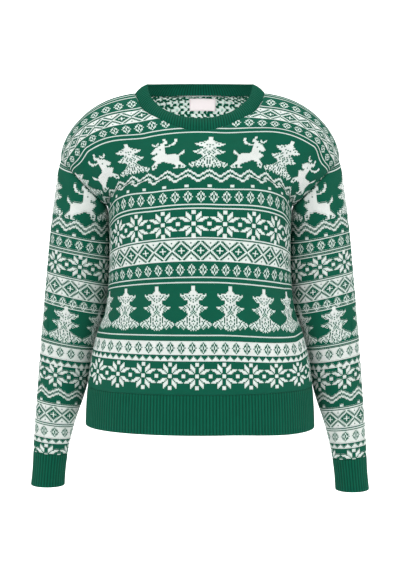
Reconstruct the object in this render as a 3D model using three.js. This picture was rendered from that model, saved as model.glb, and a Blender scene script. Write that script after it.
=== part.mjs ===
import * as THREE from "three";

// A knitted pullover, filled out as it is when worn, in millimetres, with +Z up and its front towards -Y.
// The origin is the middle of the neck at shoulder height. The wearer's left is +X.
// Heights along the cloth are counted in courses, the rows of knitting, which are 2 mm high.

const WALL = 2.8; // thickness of the knit
const SEAM = 0.3; // gap between two pieces that are sewn together
const RIB_RISE = 1.0; // how far a rib stands over the groove beside it

const SHOULDER_COURSE = 272;
const ARMPIT_COURSE = 169;

const HEM = { height: 60, ribsPerFacet: 3, flare: 3.5 };
const NECK = { sideX: 108, frontCourse: 212, backCourse: 243, ribColumnsPerFacet: 9 };
const NECK_TOP = { sideX: 87, sideZ: 14, frontY: -78, frontZ: -47, backY: 58, backZ: 19, bow: 2 };
const CUFF = { ribColumnsPerFacet: 3 };
const LABEL = { thickness: 0.8, gap: 0.6, left: -18, right: 27, top: 0.12, length: 1.05 };

const KNIT_COLOUR = 0x0f694b;
const RIB_COLOUR = 0x0e6347;
const LABEL_COLOUR = 0xe6dcd6;

// How finely the pieces are divided.
const NECK_COLUMNS = 14; // over the neck, on each panel
const SHOULDER_COLUMNS = 9; // from the neck to each side
const LOWER_ROWS = 10; // from the hem seam to the armpit
const ARMHOLE_ROWS = 12; // from the armpit to the shoulder
const SLEEVE_ROWS = 16;

// How wide both panels are and how low their courses reach at the side. It is their side edge up to
// the armpit. Above it the panels draw away from this line to the armhole.
const SIDE = [
  { course: 0, x: 186, z: -485 },
  { course: 22, x: 180, z: -441 },
  { course: 45, x: 170, z: -399 },
  { course: 67, x: 157, z: -362 },
  { course: 88, x: 152, z: -328 },
  { course: 123, x: 149, z: -272 },
  { course: 147, x: 149, z: -229 },
  { course: 161, x: 150, z: -204 },
  { course: ARMPIT_COURSE, x: 153, z: -190 },
  { course: 188, x: 165, z: -171 },
  { course: 210, x: 190, z: -145 },
  { course: 226, x: 210, z: -130 },
  { course: 242, x: 222, z: -120 },
  { course: SHOULDER_COURSE, x: 231, z: -112 },
];
const ARMHOLE_PULL = 5; // how closely the draw to the armhole stays beside it
const ARMHOLE_EASE = 2; // how slowly the draw begins above the armpit, away from the edge

// The middle line of each panel. The turn says how squarely the cloth goes round to the side.
const FRONT_MIDDLE = [
  { course: 0, y: -128, z: -485, turn: 0.82 },
  { course: 22, y: -129, z: -440, turn: 0.82 },
  { course: 45, y: -130, z: -394, turn: 0.8 },
  { course: 67, y: -131, z: -350, turn: 0.78 },
  { course: 88, y: -133, z: -307, turn: 0.78 },
  { course: 123, y: -140, z: -237, turn: 0.78 },
  { course: 147, y: -138, z: -189, turn: 0.8 },
  { course: 161, y: -134, z: -161, turn: 0.84 },
  { course: ARMPIT_COURSE, y: -130, z: -145, turn: 0.9 },
  { course: 188, y: -115, z: -110, turn: 0.95 },
  { course: 210, y: -92, z: -72, turn: 1 },
  { course: 226, y: -75, z: -45, turn: 1 },
  { course: 242, y: -50, z: -25, turn: 1 },
  { course: SHOULDER_COURSE, y: 0, z: 13, turn: 1 },
];
const BACK_MIDDLE = [
  { course: 0, y: 112, z: -485, turn: 0.82 },
  { course: 22, y: 104, z: -440, turn: 0.82 },
  { course: 45, y: 95, z: -394, turn: 0.8 },
  { course: 67, y: 90, z: -350, turn: 0.78 },
  { course: 88, y: 90, z: -307, turn: 0.78 },
  { course: 122, y: 96, z: -237, turn: 0.78 },
  { course: 146, y: 101, z: -189, turn: 0.8 },
  { course: 160, y: 102, z: -161, turn: 0.84 },
  { course: 167, y: 102, z: -145, turn: 0.9 },
  { course: 184, y: 100, z: -110, turn: 1 },
  { course: 203, y: 96, z: -72, turn: 1 },
  { course: 217, y: 90, z: -45, turn: 1 },
  { course: 229, y: 79, z: -22, turn: 1 },
  { course: 243, y: 60, z: -2, turn: 1 },
  { course: SHOULDER_COURSE, y: 0, z: 13, turn: 1 },
];

// The rings of a sleeve from the armhole to the cuff seam and the cuff's end, by the two ends of
// each ring in the front view, its half depth and how far back it hangs.
const SLEEVE_RINGS = [
  { course: 0, outerX: 231, outerZ: -112, innerX: 153, innerZ: -190, halfDepth: 45, back: 0 },
  { course: 8, outerX: 236, outerZ: -134, innerX: 154, innerZ: -199, halfDepth: 46, back: 1 },
  { course: 18, outerX: 240, outerZ: -160, innerX: 153, innerZ: -211, halfDepth: 47, back: 4 },
  { course: 31, outerX: 245, outerZ: -195, innerX: 151.5, innerZ: -229, halfDepth: 48, back: 9 },
  { course: 51, outerX: 251, outerZ: -240, innerX: 150.5, innerZ: -262, halfDepth: 48, back: 17 },
  { course: 96, outerX: 260, outerZ: -330, innerX: 157, innerZ: -353, halfDepth: 46, back: 27 },
  { course: 134, outerX: 267, outerZ: -407, innerX: 178, innerZ: -424, halfDepth: 42, back: 30 },
  { course: 168, outerX: 272, outerZ: -478, innerX: 190, innerZ: -491, halfDepth: 39, back: 30 },
  { course: 202, outerX: 277, outerZ: -546, innerX: 211, innerZ: -555, halfDepth: 32, back: 28 },
  { course: 228, outerX: 280, outerZ: -599, innerX: 222, innerZ: -604, halfDepth: 28, back: 26 },
  { course: 257, outerX: 284, outerZ: -656, innerX: 227, innerZ: -657, halfDepth: 28, back: 25 },
];
const ELBOW_COURSE = 120;
const CUFF_SEAM_COURSE = 228;
const CUFF_END_COURSE = 257;
const COURSE_HEIGHT = 2;
const EXTRA_LENGTH = { left: 8, right: 0 }; // below the elbow, where the wearer's left sleeve is longer

// Soft folds, each a trough along a line in the front view. A fold on a panel lies on both sides,
// and one on a sleeve likewise.
const PANEL_FOLDS = [
  { x1: 182, z1: -112, x2: 152, z2: -196, width: 11, depth: 5, front: true },
  { x1: 142, z1: -322, x2: 158, z2: -396, width: 10, depth: 3, front: true },
  { x1: 176, z1: -104, x2: 150, z2: -192, width: 13, depth: 6, front: false },
  { x1: 118, z1: -150, x2: 136, z2: -262, width: 14, depth: 4, front: false },
  { x1: 90, z1: -380, x2: 150, z2: -318, width: 12, depth: 3, front: false },
];
const SLEEVE_FOLDS = [
  { x1: 220, z1: -138, x2: 226, z2: -214, width: 10, depth: 4, front: true },
  { x1: 178, z1: -300, x2: 236, z2: -342, width: 9, depth: 2.5, front: true },
  { x1: 212, z1: -140, x2: 216, z2: -236, width: 11, depth: 4, front: false },
  { x1: 190, z1: -352, x2: 250, z2: -388, width: 10, depth: 3, front: false },
];

// The slope at a row of a table, flat at a peak and never steep enough to overshoot.
function slopeAt(table, column, index) {
  const rise = (i) => (table[i + 1][column] - table[i][column]) / (table[i + 1].course - table[i].course);
  if (index === 0) return rise(0);
  if (index === table.length - 1) return rise(index - 1);
  const before = rise(index - 1);
  const after = rise(index);
  return before * after <= 0 ? 0 : (2 * before * after) / (before + after);
}

// One column of a table at any course, as a smooth curve through its rows.
function smooth(table, column, course) {
  const above = table.findIndex((row) => row.course > course);
  const index = above < 0 ? table.length - 2 : Math.max(above - 1, 0);
  const from = table[index];
  const to = table[index + 1];
  const span = to.course - from.course;
  const t = THREE.MathUtils.clamp((course - from.course) / span, 0, 1);
  const startSlope = slopeAt(table, column, index) * span;
  const endSlope = slopeAt(table, column, index + 1) * span;
  const change = to[column] - from[column];
  return (
    from[column] +
    t * startSlope +
    t * t * (3 * change - 2 * startSlope - endSlope) +
    t * t * t * (startSlope + endSlope - 2 * change)
  );
}

// How deep the folds press the cloth in at a point, which may be of either side of the garment.
function foldDepth(folds, point) {
  const x = Math.abs(point.x);
  let depth = 0;
  for (const fold of folds) {
    if (fold.front !== point.y < 0) continue;
    const line = new THREE.Line3(
      new THREE.Vector3(fold.x1, 0, fold.z1),
      new THREE.Vector3(fold.x2, 0, fold.z2),
    );
    const here = new THREE.Vector3(x, 0, point.z);
    const away = line.closestPointToPoint(here, true, new THREE.Vector3()).distanceTo(here);
    depth += fold.depth * Math.exp(-((away / fold.width) ** 2));
  }
  return depth;
}

// A point of a sleeve's ring. The turn is 0 at the ring's inner end, a quarter turn at its front.
function ringPoint(course, turn) {
  const ring = (column) => smooth(SLEEVE_RINGS, column, course);
  const out = (1 - Math.cos(turn)) / 2;
  return new THREE.Vector3(
    THREE.MathUtils.lerp(ring("innerX"), ring("outerX"), out),
    ring("back") - ring("halfDepth") * Math.sin(turn),
    THREE.MathUtils.lerp(ring("innerZ"), ring("outerZ"), out),
  );
}

// The panels make one surface, whose courses run up the front, over the shoulder and down the back.
const TURNED_BACK = BACK_MIDDLE.slice(0, -1)
  .reverse()
  .map((row) => ({ ...row, course: 2 * SHOULDER_COURSE - row.course }));
const MIDDLE = [...FRONT_MIDDLE, ...TURNED_BACK];

function sidePoint(course) {
  return new THREE.Vector3(smooth(SIDE, "x", course), 0, smooth(SIDE, "z", course));
}

// The point of the edge that draws on a course. With no ease it is the edge itself.
function edgePoint(place, ease) {
  const course = Math.min(place, 2 * SHOULDER_COURSE - place);
  if (course <= ARMPIT_COURSE) return sidePoint(course);
  const share = (course - ARMPIT_COURSE) / (SHOULDER_COURSE - ARMPIT_COURSE);
  const turn = (Math.PI * share ** 1.5 * (1 + ease)) / (share + ease);
  return ringPoint(0, place < SHOULDER_COURSE ? turn : 2 * Math.PI - turn);
}

// The angle is 0 on the middle line and a quarter turn at the side edge.
function bodyPoint(place, angle) {
  const side = sidePoint(Math.min(place, 2 * SHOULDER_COURSE - place));
  const across = Math.sin(angle);
  const pull = edgePoint(place, ARMHOLE_EASE * (1 - Math.abs(across))).sub(side);
  const level = Math.max(Math.cos(angle), 0);
  const near = Math.abs(across) ** ARMHOLE_PULL;
  const point = new THREE.Vector3(
    (side.x + pull.x * near) * across,
    smooth(MIDDLE, "y", place) * level ** smooth(MIDDLE, "turn", place) + pull.y * near,
    THREE.MathUtils.lerp(side.z, smooth(MIDDLE, "z", place), level) + pull.z * near,
  );
  const pressed = foldDepth(PANEL_FOLDS, point) * Math.min(1, 4 * level);
  point.y -= Math.sign(point.y) * pressed;
  return point;
}

function sleevePoint(course, turn, extra) {
  const point = ringPoint(course, turn);
  const facing = Math.abs(Math.sin(turn));
  point.y -= Math.sign(point.y) * foldDepth(SLEEVE_FOLDS, point) * facing * Math.min(1, course / 10);
  point.z -= extra * THREE.MathUtils.smoothstep(course, ELBOW_COURSE, CUFF_SEAM_COURSE);
  return point;
}

// The outward direction of a surface, from a small step along its columns and one up its rows.
function outwardOf(alongColumns, upRows) {
  return new THREE.Vector3().crossVectors(alongColumns, upRows).normalize();
}

const STEP = 0.02; // radians, for directions
const COURSE_STEP = 1;

function bodyOutward(place, angle) {
  const limit = Math.PI / 2;
  const along = bodyPoint(place, Math.min(angle + STEP, limit)).sub(
    bodyPoint(place, Math.max(angle - STEP, -limit)),
  );
  const up = bodyPoint(place + COURSE_STEP, angle).sub(bodyPoint(place - COURSE_STEP, angle));
  return outwardOf(along, up);
}

function sleeveOutward(course, turn, extra) {
  const along = sleevePoint(course, turn + STEP, extra).sub(sleevePoint(course, turn - STEP, extra));
  const up = sleevePoint(course - COURSE_STEP, turn, extra).sub(
    sleevePoint(course + COURSE_STEP, turn, extra),
  );
  return outwardOf(along, up);
}

// At an armhole both pieces share one direction through the cloth. It leans down the sleeve, most
// under the arm, where the two pieces meet in a sharp valley.
const ACROSS_ARMHOLE = new THREE.Vector3(1, 0, 1).normalize();
const DOWN_SLEEVE = new THREE.Vector3(1, 0, -1).normalize();
const LEAN = { over: 0.3, under: 1 }; // over the shoulder and under the arm

function armholeOutward(turn) {
  const under = ((1 + Math.cos(turn)) / 2) ** 2;
  return new THREE.Vector3(0, -Math.sin(turn), 0)
    .addScaledVector(ACROSS_ARMHOLE, -Math.cos(turn))
    .addScaledVector(DOWN_SLEEVE, THREE.MathUtils.lerp(LEAN.over, LEAN.under, under))
    .normalize();
}

// The columns of a panel, closer together at the sides of the neck. Each has an angle and the
// course where it ends, at the neck or at the shoulder seam.
const NECK_ANGLE = Math.asin(NECK.sideX / SLEEVE_RINGS[0].outerX);

function panelColumns(neckCourse) {
  const columns = [];
  const side = (sign, i) => ({
    angle: sign * THREE.MathUtils.lerp(NECK_ANGLE, Math.PI / 2, i / SHOULDER_COLUMNS),
    top: SHOULDER_COURSE,
  });
  for (let i = SHOULDER_COLUMNS; i > 0; i -= 1) columns.push(side(-1, i));
  for (let i = 0; i <= NECK_COLUMNS; i += 1) {
    const round = Math.PI * (i / NECK_COLUMNS - 0.5);
    columns.push({
      angle: NECK_ANGLE * Math.sin(round),
      top: SHOULDER_COURSE - (SHOULDER_COURSE - neckCourse) * Math.cos(round),
      round,
    });
  }
  for (let i = 1; i <= SHOULDER_COLUMNS; i += 1) columns.push(side(1, i));
  return columns;
}

// The course of each row in a column. Up to the armpit the rows draw closer together, and above it
// they share the armhole out evenly.
function rowCourse(row, top) {
  if (row <= LOWER_ROWS) return ARMPIT_COURSE * (1 - (1 - row / LOWER_ROWS) ** 1.5);
  return ARMPIT_COURSE + (top - ARMPIT_COURSE) * ((row - LOWER_ROWS) / ARMHOLE_ROWS) ** 2;
}

// The top loop of the neckband, by the same angle round the neck as the panels' neck columns.
function neckTopPoint(round, isFront) {
  const toMiddle = Math.cos(round);
  return new THREE.Vector3(
    NECK_TOP.sideX * Math.sin(round),
    (isFront ? NECK_TOP.frontY : NECK_TOP.backY) * toMiddle,
    THREE.MathUtils.lerp(NECK_TOP.sideZ, isFront ? NECK_TOP.frontZ : NECK_TOP.backZ, toMiddle),
  );
}

function placeOf(course, isFront) {
  return isFront ? course : 2 * SHOULDER_COURSE - course;
}

// At the neck seam the panel and the band share the mean of their two outward directions.
function neckOutward(place, column, isFront) {
  const loop = neckTopPoint(column.round + STEP, isFront).sub(
    neckTopPoint(column.round - STEP, isFront),
  );
  if (!isFront) loop.negate();
  const up = neckTopPoint(column.round, isFront).sub(bodyPoint(place, column.angle));
  return bodyOutward(place, column.angle).add(outwardOf(loop, up)).normalize();
}

// One panel as rows of outer points with the direction through the cloth at each.
function panelGrid(isFront) {
  const columns = panelColumns(isFront ? NECK.frontCourse : NECK.backCourse);
  const shift = new THREE.Vector3(0, ((isFront ? -1 : 1) * SEAM) / 2, 0);
  const rows = [];
  for (let row = 0; row <= LOWER_ROWS + ARMHOLE_ROWS; row += 1) {
    rows.push(
      columns.map((column) => {
        const place = placeOf(rowCourse(row, column.top), isFront);
        const outward = bodyOutward(place, column.angle);
        const isEdge = Math.abs(column.angle) > Math.PI / 2 - 1e-6;
        const isTop = row === LOWER_ROWS + ARMHOLE_ROWS;
        if (isEdge && row >= LOWER_ROWS) {
          const round = (Math.PI * (row - LOWER_ROWS)) / ARMHOLE_ROWS;
          outward.copy(armholeOutward(isFront ? round : -round));
          outward.x *= Math.sign(column.angle);
        } else if (isTop && column.round !== undefined) {
          outward.copy(neckOutward(place, column, isFront));
        } else if (isEdge) {
          outward.setY(0).normalize();
        }
        if (isTop && column.top === SHOULDER_COURSE) outward.setY(0).normalize();
        if (row === 0) outward.setZ(0).normalize();
        return { outer: bodyPoint(place, column.angle).add(shift), outward };
      }),
    );
  }
  // Seen from outside, the columns of both panels run the same way.
  return isFront ? rows : rows.map((row) => row.reverse());
}

const outerOf = (cell) => cell.outer;
const innerOf = (cell, thickness) => cell.outer.clone().addScaledVector(cell.outward, -thickness);

// A list of triangles that becomes one closed geometry.
class Skin {
  constructor() {
    this.values = [];
  }

  triangle(a, b, c) {
    for (const point of [a, b, c]) this.values.push(point.x, point.y, point.z);
  }

  // Faces over rows of points. A ring joins its last column to its first.
  sheet(rows, isRing, isInner) {
    for (let r = 0; r + 1 < rows.length; r += 1) {
      const count = rows[r].length;
      for (let c = 0; c < (isRing ? count : count - 1); c += 1) {
        const next = (c + 1) % count;
        const corners = [rows[r][c], rows[r][next], rows[r + 1][next], rows[r + 1][c]];
        if (isInner) corners.reverse();
        // The quad is split along its shorter diagonal.
        if (corners[0].distanceTo(corners[2]) > corners[1].distanceTo(corners[3])) {
          corners.push(corners.shift());
        }
        this.triangle(corners[0], corners[1], corners[2]);
        this.triangle(corners[0], corners[2], corners[3]);
      }
    }
  }

  // The edge between a loop of outer points and a loop of inner ones, which may be fewer.
  rim(outer, inner) {
    const share = outer.length / inner.length;
    for (let i = 0; i < inner.length; i += 1) {
      const nextInner = inner[(i + 1) % inner.length];
      for (let s = 0; s < share; s += 1) {
        this.triangle(outer[i * share + s], inner[i], outer[(i * share + s + 1) % outer.length]);
      }
      this.triangle(inner[i], nextInner, outer[((i + 1) * share) % outer.length]);
    }
  }

  geometry() {
    const geometry = new THREE.BufferGeometry();
    geometry.setAttribute("position", new THREE.Float32BufferAttribute(this.values, 3));
    geometry.computeVertexNormals();
    return geometry;
  }
}

const turnedRound = (loop) => [loop[0], ...loop.slice(1).reverse()];

// A wall with four edges, such as a panel.
function sheetWall(rows, thickness) {
  const outer = rows.map((row) => row.map(outerOf));
  const inner = rows.map((row) => row.map((cell) => innerOf(cell, thickness)));
  const border = (grid) => [
    ...grid[0],
    ...grid.slice(1, -1).map((row) => row.at(-1)),
    ...grid.at(-1).slice().reverse(),
    ...grid
      .slice(1, -1)
      .map((row) => row[0])
      .reverse(),
  ];
  const skin = new Skin();
  skin.sheet(outer, false, false);
  skin.sheet(inner, false, true);
  skin.rim(border(outer), border(inner));
  return skin.geometry();
}

// A wall that closes on itself, such as a sleeve or a ribbed band.
function ringWall(outer, inner) {
  const skin = new Skin();
  skin.sheet(outer, true, false);
  skin.sheet(inner, true, true);
  skin.rim(outer[0], inner[0]);
  skin.rim(turnedRound(outer.at(-1)), turnedRound(inner.at(-1)));
  return skin.geometry();
}

// A loop of cells divided into narrow columns, raised by turns as the ribs of the knit.
function ribbedLoop(cells, columnsPerFacet) {
  const points = [];
  cells.forEach((cell, i) => {
    const next = cells[(i + 1) % cells.length];
    for (let s = 0; s < columnsPerFacet; s += 1) {
      const outward = cell.outward.clone().lerp(next.outward, s / columnsPerFacet);
      const raised = points.length % 2 ? 0 : RIB_RISE;
      points.push(
        cell.outer
          .clone()
          .lerp(next.outer, s / columnsPerFacet)
          .addScaledVector(outward, raised),
      );
    }
  });
  return points;
}

function ribbedWall(rows, columnsPerFacet) {
  return ringWall(
    rows.map((row) => ribbedLoop(row, columnsPerFacet)),
    rows.map((row) => row.map((cell) => innerOf(cell, WALL))),
  );
}

// The loop round the hem seam, front and back, moved down and a little outwards for each level.
function hemWall() {
  const loop = [true, false].flatMap((isFront) => {
    const columns = panelColumns(NECK.frontCourse);
    if (!isFront) columns.reverse();
    return columns.slice(0, -1).map(({ angle }) => ({
      outer: bodyPoint(placeOf(0, isFront), angle),
      outward: bodyOutward(placeOf(0, isFront), angle).setZ(0).normalize(),
    }));
  });
  const rows = [HEM.height, SEAM].map((down) =>
    loop.map(({ outer, outward }) => ({
      outer: outer
        .clone()
        .addScaledVector(outward, (HEM.flare * down) / HEM.height)
        .setZ(outer.z - down),
      outward,
    })),
  );
  return ribbedWall(rows, 2 * HEM.ribsPerFacet);
}

// The neckband rises from the neck seam of both panels to its own top loop.
function neckbandWall() {
  const cells = [true, false].flatMap((isFront) => {
    const columns = panelColumns(isFront ? NECK.frontCourse : NECK.backCourse);
    const neck = columns.filter((column) => column.round !== undefined);
    if (!isFront) neck.reverse();
    return neck.slice(0, -1).map((column) => {
      const place = placeOf(column.top, isFront);
      const base = bodyPoint(place, column.angle);
      const outward = neckOutward(place, column, isFront);
      if (column.top === SHOULDER_COURSE) outward.setY(0).normalize();
      return { base, outward, top: neckTopPoint(column.round, isFront) };
    });
  });
  const levels = [0, 0.5, 1];
  const rows = levels.map((level) =>
    cells.map(({ base, outward, top }, i) => {
      const start = base.clone().addScaledVector(top.clone().sub(base).normalize(), SEAM);
      const before = cells.at(i - 1).top;
      const after = cells[(i + 1) % cells.length].top;
      const upright = outwardOf(after.clone().sub(before), top.clone().sub(base));
      const direction = outward.clone().lerp(upright, level).normalize();
      const bow = NECK_TOP.bow * Math.sin(Math.PI * level);
      return { outer: start.lerp(top, level).addScaledVector(direction, bow), outward: direction };
    }),
  );
  return ribbedWall(rows, NECK.ribColumnsPerFacet);
}

const RING_COLUMNS = 2 * ARMHOLE_ROWS;

// The rings of a sleeve between two courses, lowest first, as the panels' rows are.
function sleeveRows(fromCourse, toCourse, count, extra) {
  const rows = [];
  for (let row = 0; row <= count; row += 1) {
    const course = THREE.MathUtils.lerp(toCourse, fromCourse, row / count);
    const ring = [];
    for (let i = 0; i < RING_COLUMNS; i += 1) {
      const turn = (2 * Math.PI * i) / RING_COLUMNS;
      const cell = {
        outer: sleevePoint(course, turn, extra),
        outward: sleeveOutward(course, turn, extra),
      };
      if (course === 0) {
        cell.outer.addScaledVector(DOWN_SLEEVE, SEAM);
        cell.outward = armholeOutward(turn);
      }
      ring.push(cell);
    }
    rows.push(ring);
  }
  return rows;
}

// The right sleeve is the left one mirrored, with its columns turned so that its faces look out.
function mirrored(rows) {
  return rows.map((row) =>
    turnedRound(row).map(({ outer, outward }) => ({
      outer: outer.clone().setX(-outer.x),
      outward: outward.clone().setX(-outward.x),
    })),
  );
}

function sleeveWall(extra, isRight) {
  const rows = sleeveRows(0, CUFF_SEAM_COURSE, SLEEVE_ROWS, extra);
  const placed = isRight ? mirrored(rows) : rows;
  return ringWall(
    placed.map((row) => row.map(outerOf)),
    placed.map((row) => row.map((cell) => innerOf(cell, WALL))),
  );
}

function cuffWall(extra, isRight) {
  const start = CUFF_SEAM_COURSE + SEAM / COURSE_HEIGHT;
  const rows = sleeveRows(start, CUFF_END_COURSE, 1, extra);
  return ribbedWall(isRight ? mirrored(rows) : rows, CUFF.ribColumnsPerFacet);
}

// The neck label lies inside the back panel, on the facets of its wall. It is a little to one side.
function labelWall(backRows) {
  const middle = (backRows[0].length - 1) / 2;
  const topRow = backRows.length - 1;
  const insidePoint = (row, column) => innerOf(backRows[row][column], WALL + LABEL.gap);
  const cellAt = (rowPlace, x) => {
    const row = Math.min(Math.floor(rowPlace), topRow - 1);
    const column = x < 0 ? middle : middle - 1;
    const width = backRows[row][middle - 1].outer.x;
    const across = x < 0 ? -x / width : 1 - x / width;
    const level = (r) => insidePoint(r, column).lerp(insidePoint(r, column + 1), across);
    return {
      outer: level(row).lerp(level(row + 1), rowPlace - row),
      outward: backRows[row][middle].outward,
    };
  };
  const top = topRow - LABEL.top;
  const levels = [top - LABEL.length, topRow - 1, top];
  const rows = levels.map((level) => [LABEL.right, 0, LABEL.left].map((x) => cellAt(level, x)));
  return sheetWall(rows, LABEL.thickness);
}

function clothPiece(name, geometry, colour, roughness) {
  const material = new THREE.MeshStandardMaterial({ color: colour, roughness, metalness: 0 });
  const mesh = new THREE.Mesh(geometry, material);
  mesh.name = name;
  return mesh;
}

const KNIT_ROUGHNESS = 0.92;
const LABEL_ROUGHNESS = 0.55;
const backRows = panelGrid(false);

const sweater = new THREE.Group();
sweater.name = "christmas_sweater";
sweater.add(
  clothPiece("front_panel", sheetWall(panelGrid(true), WALL), KNIT_COLOUR, KNIT_ROUGHNESS),
  clothPiece("back_panel", sheetWall(backRows, WALL), KNIT_COLOUR, KNIT_ROUGHNESS),
  clothPiece("neckband", neckbandWall(), RIB_COLOUR, KNIT_ROUGHNESS),
  clothPiece("hem_rib", hemWall(), RIB_COLOUR, KNIT_ROUGHNESS),
  clothPiece("neck_label", labelWall(backRows), LABEL_COLOUR, LABEL_ROUGHNESS),
);
for (const side of ["left", "right"]) {
  const extra = EXTRA_LENGTH[side];
  const isRight = side === "right";
  sweater.add(
    clothPiece(`sleeve_${side}`, sleeveWall(extra, isRight), KNIT_COLOUR, KNIT_ROUGHNESS),
    clothPiece(`cuff_${side}`, cuffWall(extra, isRight), RIB_COLOUR, KNIT_ROUGHNESS),
  );
}

export default sweater;
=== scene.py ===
# %% [markdown]
# # A knitted christmas sweater
#
# The sweater hangs filled out, as if a wearer had just left it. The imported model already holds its
# true form: two panels, two sleeves, a neckband, a hem, two cuffs and a neck label, each a hollow
# wall. This lesson remakes each of them stitch by stitch, so that the pattern is knitted in and not
# painted on. All lengths in the tables are millimetres, and the mesh is built in metres.

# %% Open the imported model
import math
import bpy
import numpy as np
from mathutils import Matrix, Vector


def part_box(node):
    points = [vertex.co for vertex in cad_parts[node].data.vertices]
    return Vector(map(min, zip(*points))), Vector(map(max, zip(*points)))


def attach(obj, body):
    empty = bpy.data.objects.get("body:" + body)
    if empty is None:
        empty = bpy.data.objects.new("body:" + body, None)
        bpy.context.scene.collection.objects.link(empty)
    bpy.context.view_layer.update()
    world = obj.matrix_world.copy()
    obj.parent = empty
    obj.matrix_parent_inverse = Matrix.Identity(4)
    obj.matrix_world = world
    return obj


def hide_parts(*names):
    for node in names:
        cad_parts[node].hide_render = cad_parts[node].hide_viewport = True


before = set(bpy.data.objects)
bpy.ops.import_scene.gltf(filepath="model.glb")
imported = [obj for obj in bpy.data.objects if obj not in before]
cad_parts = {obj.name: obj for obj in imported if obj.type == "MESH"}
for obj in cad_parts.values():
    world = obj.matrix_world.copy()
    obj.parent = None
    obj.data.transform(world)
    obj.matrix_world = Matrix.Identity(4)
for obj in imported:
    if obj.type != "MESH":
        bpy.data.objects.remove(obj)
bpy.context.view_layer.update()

# %% [markdown]
# The form of the cloth comes from short tables. A row stands for one course, which is one row of
# knitting, counted up from the hem seam. Reading a table between its rows along a smooth curve
# gives the cloth its roundness. A straight line would leave a crease at each row, and an ordinary
# spline can swing past its rows, so the slopes here are held flat at each peak.

# %% Read a table along a smooth curve
MM = 0.001


def table(columns, *rows):
    return dict(zip(columns.split(), np.array(rows, float).T))


def smooth(rows, column, course):
    at, value = rows["course"], rows[column]
    rise = np.diff(value) / np.diff(at)
    before, after = rise[:-1], rise[1:]
    same = before * after > 0
    inner = np.where(same, 2 * before * after / np.where(same, before + after, 1), 0)
    slope = np.concatenate(([rise[0]], inner, [rise[-1]]))
    i = np.clip(np.searchsorted(at, course, side="right") - 1, 0, len(at) - 2)
    span = at[i + 1] - at[i]
    t = np.clip((course - at[i]) / span, 0, 1)
    start, end, change = slope[i] * span, slope[i + 1] * span, value[i + 1] - value[i]
    return (value[i] + t * start + t * t * (3 * change - 2 * start - end)
            + t ** 3 * (start + end - 2 * change))


sample = table("course x", (0, 0), (1, 8), (2, 8))
print("a curve through 0, 8 and 8 passes", float(smooth(sample, "x", 0.5)), "half way to the 8")

# %% The form of the panels and sleeves
SHOULDER, ARMPIT = 272, 169
SIDE = table("course x z",
             (0, 186, -485), (22, 180, -441), (45, 170, -399), (67, 157, -362), (88, 152, -328),
             (123, 149.5, -272), (147, 150, -229), (161, 151.5, -204), (ARMPIT, 153, -190),
             (188, 165, -171), (210, 190, -145), (226, 210, -130), (242, 222, -120),
             (SHOULDER, 231, -112))
FRONT = [(0, -128, -485, .82), (22, -129, -440, .82), (45, -130, -394, .8), (67, -131, -350, .78),
         (88, -133, -307, .78), (123, -140, -237, .78), (147, -138, -189, .8),
         (161, -134, -161, .84), (ARMPIT, -130, -145, .9), (188, -115, -110, .95),
         (210, -92, -72, 1), (226, -75, -45, 1), (242, -50, -25, 1), (SHOULDER, 0, 13, 1)]
BACK = [(0, 112, -485, .82), (22, 104, -440, .82), (45, 95, -394, .8), (67, 90, -350, .78),
        (88, 90, -307, .78), (122, 96, -237, .78), (146, 101, -189, .8), (160, 102, -161, .84),
        (167, 102, -145, .9), (184, 100, -110, 1), (203, 96, -72, 1), (217, 90, -45, 1),
        (229, 79, -22, 1), (243, 60, -2, 1)]
TURNED = [(2 * SHOULDER - course, *rest) for course, *rest in reversed(BACK)]
MIDDLE = table("course y z turn", *FRONT, *TURNED)
RINGS = table("course outer_x outer_z inner_x inner_z half_depth back",
              (0, 231, -112, 153, -190, 45, 0), (8, 236, -134, 152.7, -199, 46, 1),
              (18, 240, -160, 151.3, -211, 47, 4), (31, 245, -195, 150.3, -229, 48, 9),
              (51, 251, -240, 150.5, -262, 48, 17), (96, 260, -330, 157, -353, 46, 27),
              (134, 267, -407, 178, -424, 42, 30), (168, 272, -478, 190, -491, 39, 30),
              (202, 277, -546, 211, -555, 32, 28), (228, 280, -599, 222, -604, 28, 26),
              (257, 284, -656, 227, -657, 28, 25))
ELBOW, CUFF_SEAM, CUFF_END = 120, 228, 257
EXTRA_LENGTH = {"left": 8, "right": 0}
print("the tables hold", len(SIDE["x"]), "rows for the side edge,", len(MIDDLE["y"]),
      "for the middle lines and", len(RINGS["back"]), "for a sleeve")

# %% [markdown]
# Knit filled out by a body is nearly smooth. It creases where it has to turn: from the armpit
# towards the shoulder, at the bend of the elbow, and at the waist where the body narrows. Each
# crease is a soft trough beside a soft ridge along a given line, no two of one length or
# depth. Simulated cloth would crease too, but in other places than the real sweater does.

# %% Soft creases
# Each crease: its ends x, z and x, z in the front view, width, depth, and the face that it is on.
PANEL_FOLDS = [(182, -112, 152, -196, 11, 5, "front"), (142, -322, 158, -396, 10, 3, "front"),
               (176, -104, 150, -192, 13, 6, "back"), (118, -150, 136, -262, 14, 4, "back"),
               (90, -380, 150, -318, 12, 3, "back")]
SLEEVE_FOLDS = [(220, -138, 226, -214, 10, 4, "front"), (178, -300, 236, -342, 9, 2.5, "front"),
                (212, -140, 216, -236, 11, 4, "back"), (190, -352, 250, -388, 10, 3, "back")]


def away_from(x, z, x1, z1, x2, z2):
    along = np.clip(((x - x1) * (x2 - x1) + (z - z1) * (z2 - z1))
                    / ((x2 - x1) ** 2 + (z2 - z1) ** 2), 0, 1)
    return np.hypot(x - x1 - along * (x2 - x1), z - z1 - along * (z2 - z1))


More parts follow.
